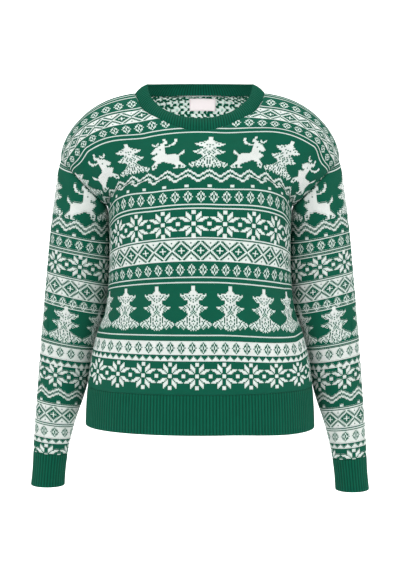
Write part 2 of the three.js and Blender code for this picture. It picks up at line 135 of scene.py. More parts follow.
def fold_depth(folds, point):
    x, y, z = abs(point[..., 0]), point[..., 1], point[..., 2]
    depth = np.zeros_like(x)
    for *line, width, deep, face in folds:
        on_face = (y < 0) == (face == "front")
        depth += on_face * deep * np.exp(-(away_from(x, z, *line) / width) ** 2)
    return depth


armpit_crease = fold_depth(PANEL_FOLDS, np.array((167.0, -100.0, -154.0)))
print("the crease at the armpit is", round(float(armpit_crease), 1), "mm deep")

# %% [markdown]
# Two functions give the place of any stitch. A panel's point has a place, its course counted over
# the shoulder and down the back, and an angle, 0 on the middle line and a quarter turn at the side.
# A sleeve's point has a course from the armhole down and a turn round its ring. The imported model
# uses the same sums. Two small ones are added here: the sleeve is tucked up under the arm, so that
# it closes on the panel's side with no slit, and the shoulders are a few millimetres fuller.

# %% Where a point of the cloth lies
ARMHOLE_PULL, ARMHOLE_EASE = 5, 2
SHOULDER_LIFT, LIFT_FROM = 6, 0.47
TUCK, TUCK_END = 16, 55
SIDE_FADE, CAP_FADE = 4, 10


def lerp(a, b, t):
    return a + (b - a) * t


def length_along(line):
    steps = np.linalg.norm(np.diff(line, axis=0), axis=1)
    return np.concatenate(([0], np.cumsum(steps)))


def ring_point(course, turn):
    ring = {name: smooth(RINGS, name, course) for name in RINGS if name != "course"}
    out = (1 - np.cos(turn)) / 2
    return np.stack((lerp(ring["inner_x"], ring["outer_x"], out),
                     ring["back"] - ring["half_depth"] * np.sin(turn),
                     lerp(ring["inner_z"], ring["outer_z"], out)), -1)


def body_point(place, angle):
    place, angle = np.broadcast_arrays(np.asarray(place, float), np.asarray(angle, float))
    course = np.minimum(place, 2 * SHOULDER - place)
    across, level = np.sin(angle), np.maximum(np.cos(angle), 0)
    side_x, side_z = smooth(SIDE, "x", course), smooth(SIDE, "z", course)
    share = np.maximum(course - ARMPIT, 1e-9) / (SHOULDER - ARMPIT)
    ease = ARMHOLE_EASE * (1 - abs(across))
    turn = np.pi * share ** 1.5 * (1 + ease) / (share + ease)
    edge = ring_point(np.zeros_like(place), np.where(place < SHOULDER, turn, 2 * np.pi - turn))
    pull = (edge - np.stack((side_x, 0 * side_x, side_z), -1)) * (course > ARMPIT)[..., None]
    pull *= (abs(across) ** ARMHOLE_PULL)[..., None]
    depth = smooth(MIDDLE, "y", place) * level ** smooth(MIDDLE, "turn", place)
    height = lerp(side_z, smooth(MIDDLE, "z", place), level)
    point = np.stack(((side_x + pull[..., 0]) * across, depth + pull[..., 1],
                      height + pull[..., 2]), -1)
    beyond_neck = np.clip((abs(across) - LIFT_FROM) / (1 - LIFT_FROM), 0, 1)
    point[..., 2] += SHOULDER_LIFT * np.sin(math.pi * beyond_neck) * np.clip(share, 0, 1) ** 2
    pressed = fold_depth(PANEL_FOLDS, point) * np.minimum(1, SIDE_FADE * level)
    point[..., 1] -= np.sign(point[..., 1]) * pressed
    return point


def sleeve_point(course, turn, extra):
    course, turn = np.broadcast_arrays(np.asarray(course, float), np.asarray(turn, float))
    point = ring_point(course, turn)
    underarm = np.sin(math.pi * np.clip(course / TUCK_END, 0, 1)) ** 2
    point[..., 1] += TUCK * underarm * ((1 + np.cos(turn)) / 2) ** 2
    faded = abs(np.sin(turn)) * np.clip(course / CAP_FADE, 0, 1)
    pressed = fold_depth(SLEEVE_FOLDS, point) * faded
    point[..., 1] -= np.sign(point[..., 1]) * pressed
    down = np.clip((course - ELBOW) / (CUFF_SEAM - ELBOW), 0, 1)
    point[..., 2] -= extra * down * down * (3 - 2 * down)
    return point


print("the front stands out to", round(float(body_point(123, 0.0)[1]), 1), "mm at the chest")
# %% [markdown]
# The pattern is knitted in two yarns, as winter sweaters have been for centuries, from snow stars,
# firs, reindeer, diamonds and small flowers. A knitter works from charts on squared paper, and so
# does this lesson: in each chart a # is one white stitch and a dot one green stitch. Most motifs
# are alike on both sides, so only half of each row is charted, up to its middle stitch. The plain
# geometric ones are shorter as a rule than as a chart.

# %% Chart helpers
def chart(text):
    return np.array([[mark == "#" for mark in row] for row in text.split()])


def mirrored(half):
    return np.hstack((half, half[:, -2::-1]))


def from_middle(rows, columns):
    y, x = np.indices((rows, columns))
    return abs(x - columns // 2), abs(y - rows // 2)


print("half a tooth of 3 columns makes", mirrored(chart("..# .## ###")).shape[1], "columns")

# %% Flowers, diamonds, zigzags and teeth
ZIGZAG_REPEAT, ZIGZAG_DROP = 16, 5.4


def small_flower():
    # A lozenge with four small holes round its middle stitch.
    return mirrored(chart("...# ..#. .##. .#.# #..# .#.# .##. ..#. ...#"))


def diamond():
    # Rings of white and green stitches round a small cross, counted outwards from it.
    x, y = from_middle(17, 14)
    ring = x + y
    heart = (ring <= 1) | (ring == 2) & ((x == 0) | (y == 0))
    dot = (x == 7) & (y == 6)
    return (heart | (ring >= 6) & (ring <= 7) | (ring >= 10) | (y == 8)) & ~dot


def double_zigzag():
    half = ZIGZAG_REPEAT // 2
    band = np.zeros((12, ZIGZAG_REPEAT), bool)
    for column in range(ZIGZAG_REPEAT):
        drop = round(ZIGZAG_DROP * abs(column - half) / half)
        band[drop:drop + 2, column] = True
        band[drop + 4:drop + 6, column] = True
    return band


FLOWER, DIAMOND, ZIGZAG = small_flower(), diamond(), double_zigzag()
DOT = np.ones((2, 3), bool)
TEETH = mirrored(chart("..# .## ###"))
print("a flower is", FLOWER.shape[0], "rows high, a diamond", DIAMOND.shape[0], "and a zigzag",
      ZIGZAG.shape[0])

# %% The snow star
STAR_QUARTER = chart("""
.........##
.....#...##
.....##..##
.....###...
.....####..
####..###..
.#####.##..
...####.#..
....####...
#........##
#........##
""")
STAR = mirrored(np.vstack((STAR_QUARTER, STAR_QUARTER[-2::-1])))
STAR = np.hstack((STAR, STAR[:, :1] & (from_middle(21, 1)[1] < 2)))
print("the snow star is", STAR.shape[1], "stitches wide and", STAR.shape[0], "rows high")

# %% Firs and reindeer
EYELETS_FROM = 6


def eyelets(fir):
    # Green holes in slanting rows below the tip, wherever the fir is white all round.
    across, _ = from_middle(*fir.shape)
    row = np.indices(fir.shape)[0]
    inside = fir.copy()
    for step in ((0, 1), (0, -1), (1, 0), (-1, 0)):
        inside &= np.roll(fir, step, (0, 1))
    return fir & ~(inside & ((across + row) % 3 == 1) & (row > EYELETS_FROM))


TALL_FIR = eyelets(mirrored(chart("""
.............##
.............##
.............##
.............##
............###
...........####
....#..########
....####.######
.....####.#####
......#.####.##
.......########
..........#####
..........####.
..........#####
.........##.###
.......##.###.#
...####.##.##.#
....####.##.##.
......#####.##.
.......#.####.#
.........#####.
..........#####
..........##.##
.........##.##.
........#.####.
.......##.#.###
.....####.#.##.
...##.###.###.#
.##.##.##.#.###
##.###.####.##.
####.##.#.##.##
.##.####.##.#.#
..#..###.####.#
......#...##.##
............#.#
""")))
FIR = eyelets(mirrored(chart("""
.............##
.............##
.............##
............###
..........#####
.......###.####
....####.######
.....#######.##
.......########
..........####.
..........#####
........##.####
......##.###.##
...####.###.###
....######.##.#
......#####.##.
.........#####.
..........#####
..........#.###
.........#.##.#
........###.###
.......#.##.#.#
.....###.####.#
..###.####.##.#
#.##.##.#.###.#
####.####.#.###
.###.###.##.##.
..#...#...#..#.
""")))
REINDEER = chart("""
...........##..............
...........##......##......
............##.....##......
...#...#...###.....##......
...##.##.#####....##.......
....###..###.....###.......
.......#####...####........
.....###########...........
....########...............
...#####.###...............
..##########...............
.###########...............
..###.######.............#.
......######............##.
....#########..........###.
..##################..###..
.######################....
..####################.....
...###################.....
....##################.....
...###################.....
..######...###########.....
.####........##########....
##.##...........########...
#..#..............#######..
####...............##..###.
##.................##..#.##
.................####.####.
""")
print("the reindeer is", REINDEER.shape[1], "stitches long and", REINDEER.shape[0], "rows high")

# %% [markdown]
# A band of the sweater repeats its motif at its own number of stitches and starts at its own
# place. In the widest band reindeer stand between firs: the two beside the middle fir look away
# from it, and the next two look back. The bands are listed as on a knitter's order sheet: motif,
# first row, stitches in a repeat, how far its middle lies to one side, and if it is white. Where
# two yarns meet, white is painted a little mint, partly the green yarn showing through and partly
# painted light bounced off the green, and green is drawn deeper into its painted shade. So every
# stitch gets a number: 1 is white yarn among white, 0 is green among green, and neighbours of the
# other colour lower both.

# %% Knit the bands
HERD_REPEAT = 120
EDGE_TINT = 0.2


def herd():
    band = np.zeros((len(FIR), HERD_REPEAT), bool)
    for motif, middle in ((FIR, 0), (REINDEER, 30), (FIR, 60), (REINDEER[:, ::-1], 90)):
        columns = (middle - motif.shape[1] // 2 + np.arange(motif.shape[1])) % HERD_REPEAT
        band[:, columns] |= motif
    return band


# Lower numbers beside the other yarn become a mint tint on white, partly painted bounced light, and
# deeper painted shade on green.
def shaded(white):
    shown = white.astype(float)
    for step in ((0, 1), (0, -1), (1, 0), (-1, 0)):
        shown -= EDGE_TINT * (np.roll(white, step, (0, 1)) != white)
    return shown


def knit(rows, width, upward, lines, grounds, bands):
    white = np.zeros((rows, width), bool)
    white[list(lines)] = True
    for first, last in grounds:
        white[first:last + 1] = True
    for motif, first, repeat, aside, is_white in bands:
        shown = motif[::-1] if upward else motif
        place = (np.arange(width) - width // 2 - aside + motif.shape[1] // 2) % repeat
        mark = shown[:, np.minimum(place, motif.shape[1] - 1)] & (place < motif.shape[1])
        band = white[first:first + len(motif)]
        band[mark[:len(band)]] = is_white
    return shaded(white)


HERD = herd()
print("reindeer and firs repeat every", HERD.shape[1], "stitches")

# %% The order sheet of a panel, its rows counted up from the hem
PANEL_STITCHES = 240
PANEL = knit(SHOULDER, PANEL_STITCHES, True,
             lines=(26, 46, 87, 91, 122, 145, 148, 160, 210, 214, 246, 260, 264),
             grounds=((31, 41),),
             bands=((STAR, 4, 22, -2, True), (TEETH, 27, 6, 0, True), (FLOWER, 32, 9, -7, False),
                    (TALL_FIR, 50, 30, -6, True), (FLOWER, 93, 9, -7, True),
                    (DIAMOND, 104, 14, 0, True), (STAR, 123, 22, -4, True),
                    (FLOWER, 150, 9, 0, True), (DOT, 162, 16, 6, True), (ZIGZAG, 165, 16, 6, True),
                    (HERD, 178, HERD_REPEAT, 5, True), (FLOWER, 216, 9, 3, True),
                    (DIAMOND, 227, 14, 3, True), (FLOWER, 248, 9, 0, True)))

print("a panel is", PANEL.shape, "stitches, and", round(100 * (PANEL > 0).mean()), "per cent white")

# %% The order sheet of a sleeve, its rows counted down from the armhole
SLEEVE_ROWS, SLEEVE_STITCHES = 264, 152
SLEEVE = knit(SLEEVE_ROWS, SLEEVE_STITCHES, False,
              lines=(1, 4, 54, 66, 69, 92, 118, 121, 156, 176, 214, 234, 252),
              grounds=((159, 170), (236, 247)),
              bands=((HERD, 11, HERD_REPEAT, 6, True), (ZIGZAG, 39, 16, 2, True),
                     (DOT, 51, 16, 2, True), (FLOWER, 56, 9, 3, True), (STAR, 70, 22, -2, True),
                     (DIAMOND, 94, 14, 6, True), (FLOWER, 112, 9, 1, True),
                     (TALL_FIR, 120, 30, 2, True), (FLOWER, 160, 9, 2, False),
                     (TEETH, 173, 6, 0, True), (STAR, 176, 22, 5, True),
                     (ZIGZAG, 198, 16, -3, True), (DOT, 211, 16, -3, True),
                     (DIAMOND, 216, 14, -3, True), (FLOWER, 237, 9, -1, False),
                     (TEETH, 249, 6, 0, True), (STAR, 254, 22, -2, True)))
print("a sleeve is", SLEEVE.shape, "stitches")

# %% [markdown]
# Knit is a shell: a face with a stitch in each quad, an inside that nobody counts the stitches of,
# and an edge between them. The inside therefore has one quad for every four stitches each way.
# Where the cloth narrows, as at the neck or down a sleeve, columns end, and their points fall
# together, so a face is kept only if it still has three different corners. Each face carries the
# number of its own stitch and of the stitch below it, because a V of knitting dips into the one
# under it. The UV map holds the face up to FACE_SHARE, the edges above it in narrow strips, and
# the inside from INSIDE_START on, and on the face it counts stitches for the material.

# %% A shell of knitting
FACE_SHARE, INSIDE_START = 0.8, 0.82
RIM_LOW, RIM_HIGH, RIM_STEP = 0.001, 0.004, 0.005
COARSE = 4


class Shell:
    def __init__(self):
        self.points, self.faces, self.uvs, self.marks = [], [], [], []
        self.total = 0

    def grid(self, points):
        flat = points.reshape(-1, 3)
        _, first, index = np.unique(np.round(flat, 7), axis=0, return_index=True,
                                    return_inverse=True)
        self.points.append(flat[first])
        self.total += len(first)
        return index.reshape(points.shape[:2]) + self.total - len(first)

    def face(self, corners, uv, inside, yarn=0, below=0):
        kept = [n for n in range(len(corners)) if corners[n] != corners[n - 1]]
        if len({corners[n] for n in kept}) < 3:
            return
        self.faces.append([int(corners[n]) for n in kept])
        self.uvs.extend(uv[n] for n in kept)
        self.marks.append((inside, yarn, below))

    def sheet(self, index, uv, inside, yarns=None):
        for i in range(index.shape[0] - 1):
            for j in range(index.shape[1] - 1):
                at = [(i, j), (i, j + 1), (i + 1, j + 1), (i + 1, j)]
                if inside:
                    at.reverse()
                yarn = (0, 0) if yarns is None else (yarns[i, j], yarns[max(i - 1, 0), j])
                self.face([index[a] for a in at], [uv[a] for a in at], inside, *yarn)

    def rim(self, outer, inner, strip):
        share = (len(outer) - 1) // (len(inner) - 1)
        low = FACE_SHARE + RIM_LOW + RIM_STEP * strip
        high = FACE_SHARE + RIM_HIGH + RIM_STEP * strip
        u = np.linspace(0, 1, len(outer))
        for k in range(len(inner) - 1):
            start = k * share
            for s in range(start, start + share):
                self.face((outer[s], inner[k], outer[s + 1]),
                          ((u[s], low), (u[start], high), (u[s + 1], low)), True)
            self.face((inner[k], inner[k + 1], outer[start + share]),
                      ((u[start], high), (u[start + share], high), (u[start + share], low)), True)

    def build(self, name, materials):
        mesh = bpy.data.meshes.new(name)
        mesh.from_pydata(np.concatenate(self.points).tolist(), [], self.faces)
        marks = np.array(self.marks)
        for column, title in ((1, "yarn"), (2, "yarn_below")):
            layer = mesh.attributes.new(title, "FLOAT", "FACE")
            layer.data.foreach_set("value", marks[:, column].astype(np.float32))
        layer = mesh.uv_layers.new(name="OFBake")
        layer.data.foreach_set("uv", np.array(self.uvs, np.float32).ravel())
        for material in materials:
            mesh.materials.append(material)
        inside = (marks[:, 0] > 0).astype(np.int32)
        mesh.polygons.foreach_set("material_index", np.minimum(inside, len(materials) - 1))
        mesh.polygons.foreach_set("use_smooth", np.ones(len(mesh.polygons), bool))
        mesh.update()
        piece = bpy.data.objects.new(name, mesh)
        bpy.context.scene.collection.objects.link(piece)
        return piece


print("a shell keeps", COARSE, "by", COARSE, "stitches to each quad of its inside")

# %% A wall from its face and its inside
def four_sides(index):
    return index[0], index[:, -1], index[-1, ::-1], index[::-1, 0]


def two_ends(index):
    return index[0], index[-1, ::-1]


def stitch_maps(u, rows):
    inside = INSIDE_START + (1 - INSIDE_START) * rows
    return np.stack((u, rows * FACE_SHARE), -1), np.stack((u, inside), -1)


def knit_wall(name, outer, inner, uv, inner_uv, yarn, edges, materials):
    shell = Shell()
    face = shell.grid(outer * MM)
    inside = shell.grid(inner[::COARSE, ::COARSE] * MM)
    shell.sheet(face, uv, False, yarn)
    shell.sheet(inside, inner_uv[::COARSE, ::COARSE], True)
    for strip, (a, b) in enumerate(zip(edges(face), edges(inside))):
        shell.rim(a, b, strip)
    return shell.build(name, materials)


def unit(vectors):
    return vectors / np.maximum(np.linalg.norm(vectors, axis=-1, keepdims=True), 1e-9)


def triangles_of(piece):
    return sum(len(face.vertices) - 2 for face in piece.data.polygons)


print("its face fills", FACE_SHARE, "of the height of the UV map")

# %% [markdown]
# A panel is knitted flat and then filled out, so its columns of stitches share out the width of
# the body at each row. The wearer's chest draws them apart in the middle and leaves them close
# together at the sides, which makes the motifs there look narrow. The rows aren't level either:
# the shoulders pull them up on both sides, and they sag a little on one. Knitting the slant into
# the rows keeps each motif whole, where a slanting picture laid over level rows would break it.

# %% Where the rows and columns of a panel run
WALL, SEAM = 2.6, 0.3
NECK_SIDE, NECK_COURSE = 108, {"front": 212, "back": 243}
NECK_ANGLE = math.asin(NECK_SIDE / SIDE["x"][-1])
CHEST_WIDENING = table("course share", (0, -.08), (40, -.06), (60, 0), (98, .03), (112, .1),
                       (133, .14), (160, .16), (190, .22), (SHOULDER, .1))
RISE = table("course rows", (0, 0), (110, 0), (145, 3), (165, 5), (190, 9), (212, 13),
             (240, 7), (SHOULDER, 0))
SAG = table("course rows", (0, 0), (30, 3), (70, 2.5), (110, 0), (SHOULDER, 0))
# The flank of each side: where it starts, as a share of the half width, and its part of the rise.
FLANK_START, FLANK_RISE = {"right": 0.15, "left": 0.45}, {"right": 1.1, "left": 0.7}
FLANK_FULL, FLANK_END = 0.85, 0.88
PANEL_SAMPLES = 361


def cloth_place(course, face):
    return course if face == "front" else 2 * SHOULDER - course


def ease_in(value, low, high):
    share = np.clip((value - low) / (high - low), 0, 1)
    return share * share * (3 - 2 * share)


def panel_course(row, angle):
    across, right = abs(np.sin(angle)), np.asarray(angle) > 0
    start = np.where(right, FLANK_START["right"], FLANK_START["left"])
    flank = ease_in(across, start, FLANK_FULL) * (1 - ease_in(across, FLANK_END, 1))
    rise = smooth(RISE, "rows", row) * np.where(right, FLANK_RISE["right"], FLANK_RISE["left"])
    return row + flank * (rise - smooth(SAG, "rows", row) * right)


def column_angles(row, face):
    sample = np.linspace(-math.pi / 2, math.pi / 2, PANEL_SAMPLES)
    length = length_along(body_point(cloth_place(panel_course(row, sample), face), sample))
    across = np.linspace(-1, 1, PANEL_STITCHES + 1)
    widening = smooth(CHEST_WIDENING, "share", row)
    placed = across * (1 + widening) - widening * across ** 3
    return np.interp((placed + 1) / 2 * length[-1], length, sample)


waist = body_point(100, column_angles(100, "front"))
print("a stitch in the middle of the waist is",
      round(float(np.diff(waist[:, 0])[PANEL_STITCHES // 2]), 2), "mm wide")

# %% [markdown]
# The neck is cut out of the finished cloth: a column that meets the neck's line stops there, and
# its last points all lie on the line. The edges are turned in a little where they are sewn, so
# the first two stitches along each edge sink by a fraction of a millimetre.

# %% Cut and sew a panel
SEAM_SINK = (0.9, 0.3)
NUDGE = 0.02


def neck_top(angle, face):
    share = np.clip(angle / NECK_ANGLE, -1, 1)
    return SHOULDER - (SHOULDER - NECK_COURSE[face]) * np.sqrt(1 - share ** 2)


def panel_stitches(face):
    row = np.tile(np.arange(SHOULDER + 1.0)[:, None], (1, PANEL_STITCHES + 1))
    angle = np.array([column_angles(each, face) for each in row[:, 0]])
    course = panel_course(row, angle)
    for j in range(PANEL_STITCHES + 1):
        over = np.nonzero(course[:, j] >= neck_top(angle[:, j], face))[0]
        if len(over) and over[0] < SHOULDER:
            i = over[0]
            above = course[i - 1:i + 1, j] - neck_top(angle[i - 1:i + 1, j], face)
            share = above[0] / (above[0] - above[1])
            for values in (row, angle):
                values[i:, j] = lerp(values[i - 1, j], values[i, j], share)
            course[i:, j] = neck_top(angle[i, j], face)
    return row, course, angle


def body_outward(place, angle):
    limit = math.pi / 2
    along = (body_point(place, np.minimum(angle + NUDGE, limit))
             - body_point(place, np.maximum(angle - NUDGE, -limit)))
    up = body_point(place + 1, angle) - body_point(place - 1, angle)
    return unit(np.cross(along, up))


def edge_sink(shape):
    sink = np.zeros(shape)
    for step, depth in reversed(list(enumerate(SEAM_SINK))):
        sink[:, step] = sink[:, -1 - step] = depth
        sink[step] = sink[-1 - step] = depth
    return sink


def make_panel(name, face, materials):
    row, course, angle = panel_stitches(face)
    place = cloth_place(course, face)
    outward = body_outward(place, angle)
    outer = body_point(place, angle)
    outer[..., 1] += SEAM / 2 * (-1 if face == "front" else 1)
    inner = outer - WALL * outward
    outer -= edge_sink(course.shape)[..., None] * outward
    u = np.tile(np.linspace(0, 1, PANEL_STITCHES + 1), (SHOULDER + 1, 1))
    grids = [outer, inner, *stitch_maps(u, row / SHOULDER), PANEL]
    if face == "back":
        grids = [grid[:, ::-1] for grid in grids]
    return knit_wall(name, *grids, four_sides, materials)


print("the neck is cut", SHOULDER - neck_top(0.0, "front"), "courses deep in front and",
      SHOULDER - neck_top(0.0, "back"), "behind")

# %% [markdown]
# A sleeve narrows from the armhole to the wrist, but its stitches stay as wide as they are: the
# knitter drops columns along the underarm. So the columns are counted both ways from the middle
# of the sleeve, the outer line of the arm, and each ends where it meets the underarm. The rows
# run level round the arm, also high up, where the armhole is aslant and cuts across them.

# %% Where the rows and columns of a sleeve run
SLEEVE_STITCH = 2.05
CAP_ROWS, LEVEL_ROW = 30, 66
SLEEVE_SAMPLES = 181


def cap_row(turn):
    # The row that meets the armhole seam at this turn round the sleeve.
    return CAP_ROWS * ((1 + np.cos(turn)) / 2) ** 1.5


def sleeve_course(row, turn):
    first = cap_row(turn)
    rest = np.clip((LEVEL_ROW - row) / (LEVEL_ROW - first), 0, 1)
    return np.maximum(row - first * rest ** 2, 0) * CUFF_SEAM / SLEEVE_ROWS


def half_row(row, end, extra):
    # From the outer line of the arm to the underarm, over the front or over the back.
    half = SLEEVE_STITCHES // 2
    sample = np.linspace(math.pi, end, SLEEVE_SAMPLES)
    length = length_along(sleeve_point(sleeve_course(row, sample), sample, extra))
    turn = np.interp(np.arange(half + 1) * SLEEVE_STITCH, length, sample)
    turn[-1] = end
    return turn, np.minimum(np.arange(half + 1), length[-1] / SLEEVE_STITCH)


def sleeve_stitches(extra):
    half = SLEEVE_STITCHES // 2
    rows = np.arange(SLEEVE_ROWS + 1.0)
    turns, counts = [], []
    for each in rows:
        back, back_count = half_row(each, 2 * math.pi, extra)
        front, front_count = half_row(each, 0, extra)
        turns.append(np.concatenate((back[:0:-1], front)))
        counts.append(np.concatenate((-back_count[:0:-1], front_count)))
    turn = np.array(turns)
    row = np.tile(rows[:, None], (1, turn.shape[1]))
    for j in range(turn.shape[1]):
        over = np.nonzero(rows < cap_row(turn[:, j]))[0]
        if len(over):
            i = over[-1]
            gap = rows[i:i + 2] - cap_row(turn[i:i + 2, j])
            turn[:i + 1, j] = lerp(turn[i, j], turn[i + 1, j], gap[0] / (gap[0] - gap[1]))
            row[:i + 1, j] = cap_row(turn[i, j])
    return row, turn, (np.array(counts) + half) / (2 * half)


wrist = sum(half_row(SLEEVE_ROWS, end, 0)[1][-1] for end in (2 * math.pi, 0))
print("a sleeve narrows to", round(wrist), "stitches at the cuff")

# %% [markdown]
# The right sleeve is the left one seen in a mirror. A mirror turns every face inside out, so its
# columns are listed the other way round as well. Both sleeves are built from the cuff up.

# %% Sew and mirror a sleeve
SEAM_EASE = 8


def sleeve_outward(course, turn, extra):
    along = sleeve_point(course, turn + NUDGE, extra) - sleeve_point(course, turn - NUDGE, extra)
    up = sleeve_point(course - 1, turn, extra) - sleeve_point(course + 1, turn, extra)
    return unit(np.cross(along, up))


def make_sleeve(side, materials):
    extra = EXTRA_LENGTH[side]
    row, turn, u = sleeve_stitches(extra)
    course = sleeve_course(row, turn)
    outward = sleeve_outward(course, turn, extra)
    outer = sleeve_point(course, turn, extra)
    apart = SEAM * np.clip(1 - course / SEAM_EASE, 0, 1)
    outer += apart[..., None] * np.array((1, 0, -1)) / math.sqrt(2)
    inner = outer - WALL * outward
    sink = np.interp(row - cap_row(turn), (0, 1, 2), (*SEAM_SINK, 0))
    for step, depth in enumerate(SEAM_SINK):
        sink[-1 - step] = depth
    outer -= sink[..., None] * outward
    for points in (outer, inner):
        points[:, 0] = points[:, -1]
    grids = [outer, inner, *stitch_maps(u, row / SLEEVE_ROWS), SLEEVE]
    if side == "right":
        for points in (outer, inner):
            points[..., 0] *= -1
        grids = [grid[:, ::-1] for grid in grids]
    grids = [grid[::-1] for grid in grids]
    return knit_wall(f"{side}_sleeve_knit", *grids, two_ends, materials)


print("the left sleeve is", EXTRA_LENGTH["left"] - EXTRA_LENGTH["right"],
      "mm longer than the right")

# %% [markdown]
# The neckband, the hem and the cuffs are plain green rib: a column of knit stitches stands up, and
# the next sinks between its neighbours, so the band can stretch and pull in again. Here each rib
# is real relief, six points across. The cloth of the band is double and turns over at its free
# edge, so one loop of points runs up the outside, round the edge and down the inside.

# %% The cut through a band
RIB_POINTS, RIB_HEIGHT = 6, 1.1
RIB_PROFILE = np.array((0.0, 0.62, 0.96, 1.0, 0.96, 0.62))
RIB_START, RIB_GROWTH = 0.35, 6
BAND_WALL, TURN_POINTS, LAST_SEAM = 2.8, 6, 1.02


def band_profile(height, rows, rib_inside):
    # For each point: how far it is to the free edge, how deep it lies, its share of the ribs.
    radius = BAND_WALL / 2
    turned = 1 - radius / height
    profile = [(level, 0, 1.0) for level in np.linspace(0, turned, rows)]
    for turn in np.linspace(0, math.pi, TURN_POINTS)[1:-1]:
        profile.append((1 - radius / height * (1 - math.sin(turn)), radius * (1 - math.cos(turn)),
                        math.cos(turn / 2) ** 2 + rib_inside * math.sin(turn / 2) ** 2))
    inside = np.linspace(turned, 0, rows // 2)
    return profile + [(level, BAND_WALL, rib_inside) for level in inside]


def even_loop(line, count):
    # Points at equal distances round a closed loop, as places in the list it was drawn with.
    closed = np.concatenate((line, line[:1]))
    length = length_along(closed)
    return np.interp(np.arange(count) * length[-1] / count, length, np.arange(len(closed)))


def at_places(values, places):
    closed = np.concatenate((values, values[:1]))
    low = np.floor(places).astype(int)
    share = (places - low)[:, None]
    return closed[low] * (1 - share) + closed[np.minimum(low + 1, len(values))] * share


print("a band with 30 rows has", len(band_profile(60, 30, 1)), "points in its cut")

# %% Knit a ribbed band between two loops
def make_band(name, start, end, outward, ribs, rows, bow, rib_inside, material):
    # start is the sewn edge and end the free one, each a closed loop of points.
    places = even_loop((start + end) / 2, ribs * RIB_POINTS)
    start, end, outward = (at_places(loop, places) for loop in (start, end, outward))
    outward = unit(outward)
    height = np.linalg.norm(end - start, axis=1).mean()
    raised = np.tile(RIB_PROFILE, ribs)
    loops, lengths = [], [0.0]
    for level, depth, share in band_profile(height, rows, rib_inside):
        facing = 1 if depth < BAND_WALL / 2 else -1
        grown = min(1, RIB_START + RIB_GROWTH * level)
        lift = facing * share * RIB_HEIGHT * (raised - 0.5) * grown
        offset = bow * math.sin(math.pi * level) - depth + (lift - RIB_HEIGHT / 2 * share * facing)
        loops.append(lerp(start, end, level) + outward * offset[:, None])
    grid = np.array(loops)
    for above, below in zip(grid[1:], grid):
        lengths.append(lengths[-1] + np.linalg.norm(above - below, axis=1).mean())
    shell = Shell()
    index = shell.grid(grid * MM)
    index = np.hstack((index, index[:, :1]))
    index = np.vstack((index, index[:1]))
    v = np.array(lengths + [lengths[-1] * LAST_SEAM]) / (lengths[-1] * LAST_SEAM)
    u = np.linspace(0, 1, index.shape[1])
    shell.sheet(index, np.stack(np.meshgrid(u, v), -1), False)
    return shell.build(name, [material])


print("a rib stands up", RIB_HEIGHT, "mm and is", RIB_POINTS, "points across")

# %% [markdown]
# The neck label is a small satin tape, sewn flat inside the back of the neck and left blank. It
# lies on the points of the panel's inside, moved in a little, so it follows every bend of it. A
# line of stitches presses it down just inside its edge, and the tape ripples slightly.

# %% Place the neck label
LABEL = {"left": -18, "right": 27, "low": 228.0, "high": 241.5, "gap": 0.7, "thickness": 0.8}
LABEL_WIDTH, LABEL_HEIGHT = 45, 25
SEWN_AT, SEWN_WIDTH, SEWN_DEPTH = 1.6, 0.5, 0.25
RIPPLE, RIPPLE_ACROSS, RIPPLE_UP = 0.15, 9, 2


def make_label(material):
    columns, rows = 33, 21
    x = np.linspace(LABEL["left"], LABEL["right"], columns)
    course = np.linspace(LABEL["low"], LABEL["high"], rows)[:, None]
    place = cloth_place(course, "back") + 0 * x
    angle = np.arcsin(x / smooth(SIDE, "x", course))
    outward = body_outward(place, angle)
    back = body_point(place, angle) - (WALL + LABEL["gap"]) * outward
    back[..., 1] += SEAM / 2
    across, up = np.meshgrid(np.linspace(0, 1, columns), np.linspace(0, 1, rows))
    edge = np.minimum(np.minimum(across, 1 - across) * LABEL_WIDTH,
                      np.minimum(up, 1 - up) * LABEL_HEIGHT)
    sewn = SEWN_DEPTH * np.exp(-((edge - SEWN_AT) / SEWN_WIDTH) ** 2)
    wave = RIPPLE * np.sin(across * RIPPLE_ACROSS + up * RIPPLE_UP) * np.minimum(1, edge / 4)
    front = back - outward * (LABEL["thickness"] - sewn + wave)[..., None]
    return knit_wall("blank_neck_label", front, back, *stitch_maps(across, up), None,
                     four_sides, [material])


print("the label lies", LABEL["gap"], "mm off the back panel")

# %% [markdown]
# Materials are sums over sockets. This small class lets the sums be written as in Python: it
# wraps a socket, and each + or * adds a Math node. Colours go through Mix nodes instead, because
# a Math node would turn them grey.

# %% Write shader maths as Python
class Value:
    def __init__(self, nodes, socket):
        self.nodes, self.socket = nodes, socket

    def math(self, operation, *others):
        return self.nodes.node("ShaderNodeMath", {"operation": operation}, self, *others)

    def __add__(self, other): return self.math("ADD", other)
    def __radd__(self, other): return self.math("ADD", other)
    def __sub__(self, other): return self.math("SUBTRACT", other)
    def __mul__(self, other): return self.math("MULTIPLY", other)
    def __rmul__(self, other): return self.math("MULTIPLY", other)
    def __pow__(self, other): return self.math("POWER", other)

    def __rsub__(self, other):
        return self.nodes.node("ShaderNodeMath", {"operation": "SUBTRACT"}, other, self)

    def fract(self): return self.math("FRACT")
    def size(self): return self.math("ABSOLUTE")
    def above(self, level): return self.math("GREATER_THAN", level)
    def clipped(self): return self.nodes.node("ShaderNodeClamp", {}, self, 0, 1)


print("shader sums can be written with +, -, * and **")

# %% [markdown]
# A finish is one Principled shader with the nodes that feed it. What is the same all over, such
# as the sheen of the wool, is set on the shader's own sockets. What changes from stitch to stitch
# comes in by a link, and only to the colour, the roughness and the normal.

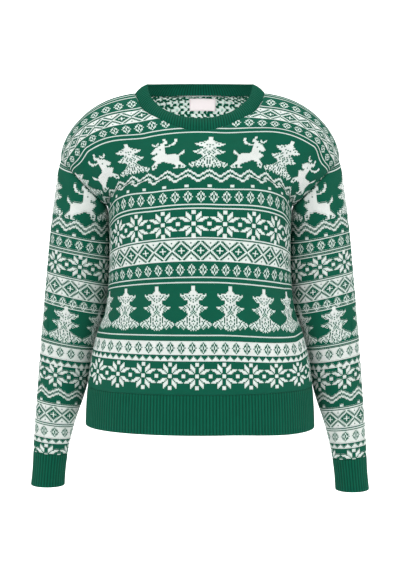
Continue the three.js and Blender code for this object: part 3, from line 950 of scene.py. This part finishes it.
# %% A finish and its nodes
class Finish:
    def __init__(self, name, **shader):
        self.material = bpy.data.materials.new(name)
        self.material.use_nodes = True
        self.tree = self.material.node_tree
        self.shader = self.tree.nodes["Principled BSDF"]
        for socket, value in shader.items():
            self.shader.inputs[socket.replace("_", " ")].default_value = value

    def node(self, kind, settings, *inputs, output=0, sockets=None, **named):
        made = self.tree.nodes.new(kind)
        for setting, value in settings.items():
            setattr(made, setting, value)
        for socket, value in [*enumerate(inputs), *(sockets or {}).items(), *named.items()]:
            if isinstance(socket, str):
                socket = socket.replace("_", " ")
            if isinstance(value, Value):
                self.tree.links.new(value.socket, made.inputs[socket])
            else:
                made.inputs[socket].default_value = value
        return Value(self, made.outputs[output])

    def mix(self, factor, low, high):
        # A Mix node has sockets for each kind of data, and 6 and 7 are its colours.
        return self.node("ShaderNodeMix", {"data_type": "RGBA"}, output=2,
                         sockets={0: factor, 6: low, 7: high})

    def feed(self, socket, value):
        self.tree.links.new(value.socket, self.shader.inputs[socket])

    def relief(self, height, distance):
        self.feed("Normal", self.node("ShaderNodeBump", {}, Strength=1.0, Distance=distance,
                                      Height=height))

    def attribute(self, name):
        return self.node("ShaderNodeAttribute", {"attribute_name": name}, output=2)

    def map_place(self):
        uv = self.node("ShaderNodeUVMap", {"uv_map": "OFBake"})
        return [self.node("ShaderNodeSeparateXYZ", {}, uv, output=axis) for axis in (0, 1)]

    def stitches(self, across, up):
        u, v = self.map_place()
        return u * across, v * (up / FACE_SHARE)


def tone(red, green, blue):
    # A colour as a paint chart gives it, 0 to 255, made linear for the shader.
    channels = [value / 255 for value in (red, green, blue)]
    return (*[c / 12.92 if c <= 0.04045 else ((c + 0.055) / 1.055) ** 2.4 for c in channels], 1)


print("a middle grey of 128 is", round(tone(128, 128, 128)[0], 3), "in linear light")

# %% [markdown]
# The face of the knit is made of V-shaped stitches in two matt wool yarns. Each V has two legs, a
# rounded hump from side to side, and it starts inside the V below it. So a point near the side of
# a stitch, under its rising leg, takes the yarn of the stitch below. Wool isn't one colour: fine
# fibres lie over it and a broad mottle runs over it. Shade is painted into the colour between the
# humps, and white yarn next to green is painted a little mint, partly the green yarn showing
# through and partly painted light bounced off the green.

# %% The patterned knit
# DEEP_GREEN is the green's painted shade between the humps and also its mottle; CREAM_SHADE is the
# white's mint painted shade; RIB_SHADE is painted shade in the rib grooves.
GREEN, DEEP_GREEN, LIGHT_GREEN = tone(0, 92, 68), tone(0, 62, 46), tone(10, 112, 88)
WHITE, CREAM_SHADE = tone(255, 250, 250), tone(124, 198, 172)
RIB_SHADE = tone(0, 44, 32)
LEG_RISE = 0.3
FIBRE_SCALE, MOTTLE_SCALE, RIB_MOTTLE_SCALE = 2600.0, 60.0, 45.0
STITCH_RELIEF, DASH_RELIEF, RIB_RELIEF = 0.0009, 0.0007, 0.0006


def knitted(finish, across, up):
    s, t = finish.stitches(across, up)
    side = (s.fract() * 2 - 1).size()
    inside_v = t.fract() - LEG_RISE * side
    below = 1 - inside_v.above(0)
    along = (t - LEG_RISE * side).fract()
    leg = 1 - ((side * 2 - 1).size()) ** 2.2
    hump = leg * (0.62 + 0.38 * (along * math.pi).math("SINE"))
    return s, t, below, hump


def fibres(finish, scale, detail=3.0):
    place = finish.node("ShaderNodeNewGeometry", {})
    return finish.node("ShaderNodeTexNoise", {}, Vector=place, Scale=scale, Detail=detail,
                       Roughness=0.65)


def wool(name):
    return Finish(name, Roughness=0.9, Sheen_Weight=0.02, Sheen_Roughness=0.5,
                  Specular_IOR_Level=0.1)


def patterned_knit(name, across, up):
    finish = wool(name)
    s, t, below, hump = knitted(finish, across, up)
    own, lower = finish.attribute("yarn"), finish.attribute("yarn_below")
    shown = own + below * (lower - own)
    white = shown.above(0.1)
    fine, broad = fibres(finish, FIBRE_SCALE), fibres(finish, MOTTLE_SCALE, 2.0)
    # Painted shade: green falls to DEEP_GREEN between the humps, and further still beside white
    # stitches.
    green = finish.mix((hump * (1 + shown * 0.7)).clipped(), DEEP_GREEN, GREEN)
    green = finish.mix(fine * 0.5, green, LIGHT_GREEN)
    # White falls to the mint CREAM_SHADE between the humps and beside green stitches: partly green
    # yarn showing through, partly painted shade and painted bounced light.
    cream = finish.mix(((hump + fine * 0.4) * (0.4 + shown * 0.6)).clipped(), CREAM_SHADE, WHITE)
    colour = finish.mix(white, green, cream)
    colour = finish.mix((broad - 0.35) * 0.25, colour, DEEP_GREEN)
    finish.feed("Base Color", colour)
    finish.feed("Roughness", 0.82 + fine * 0.16)
    finish.relief(hump + fine * 0.22 + white * 0.12, distance=STITCH_RELIEF)
    return finish.material


print("the legs of a stitch rise", LEG_RISE, "of its height")

# %% [markdown]
# The inside of a two-colour knit shows both yarns all over, because each is carried behind the
# other in small bars. The pattern can't be read there, so a rule takes its place: dashes of white
# on green, each of its own length, in rows that are set half a dash aside, and more of them in
# some bands than in others.

# %% The inside of the knit
DASH_TO_STITCH, DASH_TO_ROW = 0.24, 0.36


def inside_knit(name, across, up):
    finish = wool(name)
    u, v = finish.map_place()
    u, v = u * across, (v - INSIDE_START) * (up / (1 - INSIDE_START))
    bar = 1 - ((v.fract() * 2 - 1).size()) ** 2.0
    line = (v * DASH_TO_ROW).math("FLOOR")
    stagger = (line * 0.5).fract() + u * DASH_TO_STITCH
    dash = stagger.fract()
    loop = 1 - ((dash * 2 - 1).size()) ** 2.0
    cell = finish.node("ShaderNodeCombineXYZ", {}, stagger.math("FLOOR"), line, 0.0)
    fleck = finish.node("ShaderNodeTexWhiteNoise", {"noise_dimensions": "3D"}, Vector=cell)
    band = (v * 0.8).math("SINE") * 0.2 + (v * 0.17).math("SINE") * 0.15
    white = (fleck * 0.6 + band + 0.17 - dash).above(0)
    fine = fibres(finish, FIBRE_SCALE)
    # Painted shade: both yarns darken between the bars and at the ends of the dashes, the white
    # towards the mint CREAM_SHADE.
    green = finish.mix(bar * loop, DEEP_GREEN, GREEN)
    cream = finish.mix((bar * loop + fine * 0.3).clipped(), CREAM_SHADE, WHITE)
    finish.feed("Base Color", finish.mix(white, green, cream))
    finish.relief(bar * loop + fine * 0.2, distance=DASH_RELIEF)
    return finish.material


print("a dash on the inside is", round(1 / DASH_TO_STITCH, 1), "stitches long")

# %% [markdown]
# The rib is the same stitch in plain green, with shade painted into the colour between its humps
# and into the grooves between the ribs. The label is woven satin with a corded edge, smoother than
# wool, with a hint of rose in its white.

# %% Plain rib and satin tape
def rib_knit(name, ribs, courses):
    finish = wool(name)
    s, t, _, hump = knitted(finish, ribs * 2, courses)
    fine, broad = fibres(finish, FIBRE_SCALE), fibres(finish, RIB_MOTTLE_SCALE, 2.0)
    ridge = ((s * 0.5).fract() * math.pi).math("SINE")
    # Painted shade between the humps of the stitches.
    green = finish.mix(hump, DEEP_GREEN, GREEN)
    green = finish.mix(fine * 0.4, green, LIGHT_GREEN)
    green = finish.mix((broad - 0.4) * 0.4, green, DEEP_GREEN)
    # Painted shade: RIB_SHADE fills the grooves between the ribs.
    finish.feed("Base Color", finish.mix(ridge ** 0.7, RIB_SHADE, green))
    finish.feed("Roughness", 0.84 + fine * 0.14)
    finish.relief(hump + fine * 0.25, distance=RIB_RELIEF)
    return finish.material


def satin_tape(name):
    finish = Finish(name, Roughness=0.42, Sheen_Weight=0.2, Anisotropic=0.4)
    s, t = finish.stitches(300, 160)
    weave = (s * (2 * math.pi)).math("SINE") * (t * (2 * math.pi)).math("SINE")
    x, y = finish.stitches(1, 1)
    edge_x = 0.5 - (x - 0.5).size()
    edge_y = 0.5 - (y - 0.5).size()
    border = (0.045 - edge_x).above(0) + (0.08 - edge_y).above(0)
    cord = (s * 0.9 + t * 0.9).math("SINE") * border.clipped()
    fine = fibres(finish, 900.0)
    pale, warm = tone(255, 244, 246), tone(232, 212, 216)
    finish.feed("Base Color", finish.mix(fine * 0.25 + cord.size() * 0.35, pale, warm))
    finish.feed("Roughness", 0.36 + fine * 0.2)
    finish.relief(weave * 0.25 + cord * 0.5, distance=0.0002)
    return finish.material


print("the knit has", PANEL_STITCHES, "stitches across a panel and", SHOULDER, "courses up it")

# %% [markdown]
# Each piece now replaces its plain solid in the imported model, rides on the same body, and
# prints how far it reaches beyond that solid. Two panels close the body round, so both are made
# from one sum, with the back seen from behind. A sleeve of 152 stitches is 312 millimetres round
# at the armhole.

# %% Knit the panels
def place_piece(piece, node):
    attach(piece, "root")
    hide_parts(node)
    low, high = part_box(node)
    points = np.array([piece.matrix_world @ vertex.co for vertex in piece.data.vertices])
    print(piece.name, triangles_of(piece), "triangles; beyond its solid by",
          np.round((np.array(low) - points.min(0)) / MM, 1),
          np.round((points.max(0) - np.array(high)) / MM, 1), "mm")


panel_knit = [patterned_knit("panel_knit", PANEL_STITCHES, SHOULDER),
              inside_knit("panel_knit_inside", PANEL_STITCHES, SHOULDER)]
for face, area in (("front", 0.217), ("back", 0.214)):
    panel = make_panel(f"{face}_panel_knit", face, panel_knit)
    place_piece(panel, f"{face}_panel")

# %% Knit the sleeves
sleeve_knit = [patterned_knit("sleeve_knit", SLEEVE_STITCHES, SLEEVE_ROWS),
               inside_knit("sleeve_knit_inside", SLEEVE_STITCHES, SLEEVE_ROWS)]
for side in ("left", "right"):
    sleeve = make_sleeve(side, sleeve_knit)
    place_piece(sleeve, f"sleeve_{side}")

# %% [markdown]
# The hem hangs from the bottom of both panels, and the cuffs from the ends of the sleeves, where
# the cloth is drawn in. The neckband is knitted as a strip, folded double and linked to the neck
# edge stitch by stitch, and it leans in over the neck. Ribs fan out from it towards the seam.

# %% Knit the hem
HEM_RIBS, HEM_ROUNDS = 192, 62
HEM_HEIGHT, HEM_FLARE = 63, 3.5
HEM_SAG, SAG_FROM, SAG_TO = 5, 40, 160


def hem_loops():
    angle = np.linspace(-math.pi / 2, math.pi / 2, 181)[:-1]
    rounds = [(0.0, angle), (2.0 * SHOULDER, -angle)]
    seam = np.concatenate([body_point(place, turn) for place, turn in rounds])
    outward = np.concatenate([body_outward(np.full_like(turn, place), turn)
                              for place, turn in rounds])
    outward[:, 2] = 0
    outward = unit(outward)
    return seam, outward


seam, outward = hem_loops()
down = np.array((0, 0, -1.0))
start = seam + down * SEAM
height = HEM_HEIGHT + HEM_SAG * ease_in(seam[:, 0], SAG_FROM, SAG_TO)
end = seam + down * height[:, None] + outward * HEM_FLARE
hem = make_band("ribbed_hem", start, end, outward, ribs=HEM_RIBS, rows=30, bow=0.6,
                rib_inside=0.6, material=rib_knit("hem_rib_knit", HEM_RIBS, HEM_ROUNDS))
place_piece(hem, "hem_rib")

# %% Knit the cuffs
CUFF_RIBS, CUFF_ROUNDS = 36, 58
cuff_knit = rib_knit("cuff_rib_knit", CUFF_RIBS, CUFF_ROUNDS)
for side in ("left", "right"):
    extra = EXTRA_LENGTH[side]
    turn = np.linspace(0, 2 * math.pi, 145)[:-1]
    start = sleeve_point(CUFF_SEAM + SEAM / 2, turn, extra)
    end = sleeve_point(CUFF_END, turn, extra)
    outward = sleeve_outward(np.full_like(turn, CUFF_END - 2), turn, extra)
    if side == "right":
        start, end, outward = (loop[::-1] * (-1, 1, 1) for loop in (start, end, outward))
    cuff = make_band(f"{side}_cuff_rib", start, end, outward, ribs=CUFF_RIBS, rows=28, bow=-0.8,
                     rib_inside=0.6, material=cuff_knit)
    place_piece(cuff, f"cuff_{side}")

# %% Link the neckband
NECK_RIBS, NECK_ROUNDS = 126, 28
NECK_TOP = {"side_x": 87, "side_z": 14, "front_y": -78, "front_z": -47, "back_y": 58, "back_z": 19}


def neck_loops():
    base, top = [], []
    for face, sign in (("front", 1), ("back", -1)):
        turn = sign * np.linspace(-math.pi / 2, math.pi / 2, 121)[:-1]
        middle = np.cos(turn)
        course = SHOULDER - (SHOULDER - NECK_COURSE[face]) * middle
        base.append(body_point(cloth_place(course, face), NECK_ANGLE * np.sin(turn)))
        top.append(np.stack((NECK_TOP["side_x"] * np.sin(turn), NECK_TOP[f"{face}_y"] * middle,
                             lerp(NECK_TOP["side_z"], NECK_TOP[f"{face}_z"], middle)), -1))
    return np.concatenate(base), np.concatenate(top)


base, top = neck_loops()
round_neck = np.roll(top, -2, axis=0) - np.roll(top, 2, axis=0)
outward = unit(np.cross(round_neck, top - base))
start = base + SEAM * unit(top - base)
neckband = make_band("ribbed_neckband", start, top, outward, ribs=NECK_RIBS, rows=16, bow=2.0,
                     rib_inside=0.8, material=rib_knit("neck_rib_knit", NECK_RIBS, NECK_ROUNDS))
place_piece(neckband, "neckband")

# %% Sew in the label
label = make_label(satin_tape("label_satin"))
place_piece(label, "neck_label")

# %% [markdown]
# The sweater was photographed on white in soft, even light. A pale floor that curves up behind it
# gives the same. Three large lights stand round the sweater, one lights the floor behind it, and a
# small one inside the neck shows the label, as light through the knit does on the real one.

# %% Floor
def sweep_floor(width, depth, height, low):
    bend = [(depth - 1 + math.sin(a), low + 1 - math.cos(a))
            for a in np.linspace(0, math.pi / 2, 12)]
    steps = [(-4 * depth, low), *bend, (depth, height)]
    points = [(x, y, z) for y, z in steps for x in (-width, width)]
    faces = [(2 * i, 2 * i + 1, 2 * i + 3, 2 * i + 2) for i in range(len(steps) - 1)]
    mesh = bpy.data.meshes.new("floor")
    mesh.from_pydata(points, [], faces)
    mesh.polygons.foreach_set("use_smooth", [True] * len(faces))
    floor = bpy.data.objects.new("floor", mesh)
    bpy.context.scene.collection.objects.link(floor)
    return floor


paper = Finish("studio_paper", Roughness=0.95, Specular_IOR_Level=0.1)
grain = fibres(paper, 30.0)
paper.feed("Base Color", paper.mix(grain * 0.2, tone(252, 252, 252), tone(244, 244, 244)))
floor = sweep_floor(6, 3.2, 5, -1.15)
floor.data.materials.append(paper.material)
print("the floor has", len(floor.data.polygons), "faces")

# %% Lights
# Each light: its place, what it shines at, its size in metres and its power in watts.
LIGHTS = {"key_light": ((-1.4, -2.2, 1.5), (0, 0, -0.3), (1.6, 1.6), 36),
          "fill_light": ((1.8, -2.0, 0.6), (0, 0, -0.35), (1.8, 1.8), 21),
          "top_light": ((0, 0.3, 2.2), (0, 0, -0.3), (2.4, 1.6), 18),
          "neck_light": ((0, -0.03, -0.14), (0, 0.08, 0), (0.12, 0.06), 0.14),
          "paper_light": ((0, 1.4, 2.4), (0, 3.2, 0), (4, 1.5), 110)}
AIR_LIGHT = 0.95


def soft_light(name, place, aim, size, power):
    lamp = bpy.data.lights.new(name, "AREA")
    lamp.shape, lamp.size, lamp.size_y, lamp.energy = "RECTANGLE", *size, power
    made = bpy.data.objects.new(name, lamp)
    made.location = place
    direction = Vector(aim) - Vector(place)
    made.rotation_euler = direction.to_track_quat("-Z", "Y").to_euler()
    made.visible_camera = False
    bpy.context.scene.collection.objects.link(made)


for name, setting in LIGHTS.items():
    soft_light(name, *setting)
world = bpy.data.worlds.new("studio_air")
world.use_nodes = True
air = world.node_tree.nodes["Background"]
air.inputs["Color"].default_value = tone(255, 255, 255)
air.inputs["Strength"].default_value = AIR_LIGHT
bpy.context.scene.world = world
bpy.context.scene.view_settings.view_transform = "Standard"
print(len(LIGHTS), "lights, and air of strength", AIR_LIGHT)

# %% [markdown]
# The camera stands straight in front, a little above the middle of the sweater. It looks level,
# and its lens is shifted down, so upright lines stay upright, as in a picture taken for a shop.

# %% Camera
CAMERA_DISTANCE, CAMERA_HEIGHT, VIEW_MIDDLE = 2.2, -0.18, -0.326
VIEW_HEIGHT, SENSOR = 0.958, 36
lens = bpy.data.cameras.new("camera")
lens.sensor_width = SENSOR
lens.lens = SENSOR * CAMERA_DISTANCE / VIEW_HEIGHT
camera = bpy.data.objects.new("camera", lens)
camera.location = (0, -CAMERA_DISTANCE, CAMERA_HEIGHT)
camera.rotation_euler = (math.pi / 2, 0, 0)
lens.shift_y = (VIEW_MIDDLE - CAMERA_HEIGHT) / VIEW_HEIGHT
bpy.context.scene.collection.objects.link(camera)
bpy.context.scene.camera = camera
print("lens of", round(lens.lens, 1), "mm, shifted", round(lens.shift_y, 3))

# %% [markdown]
# Last, the scene is brought up to date, so that every piece sits on its body.

# %% Update the scene
bpy.context.view_layer.update()
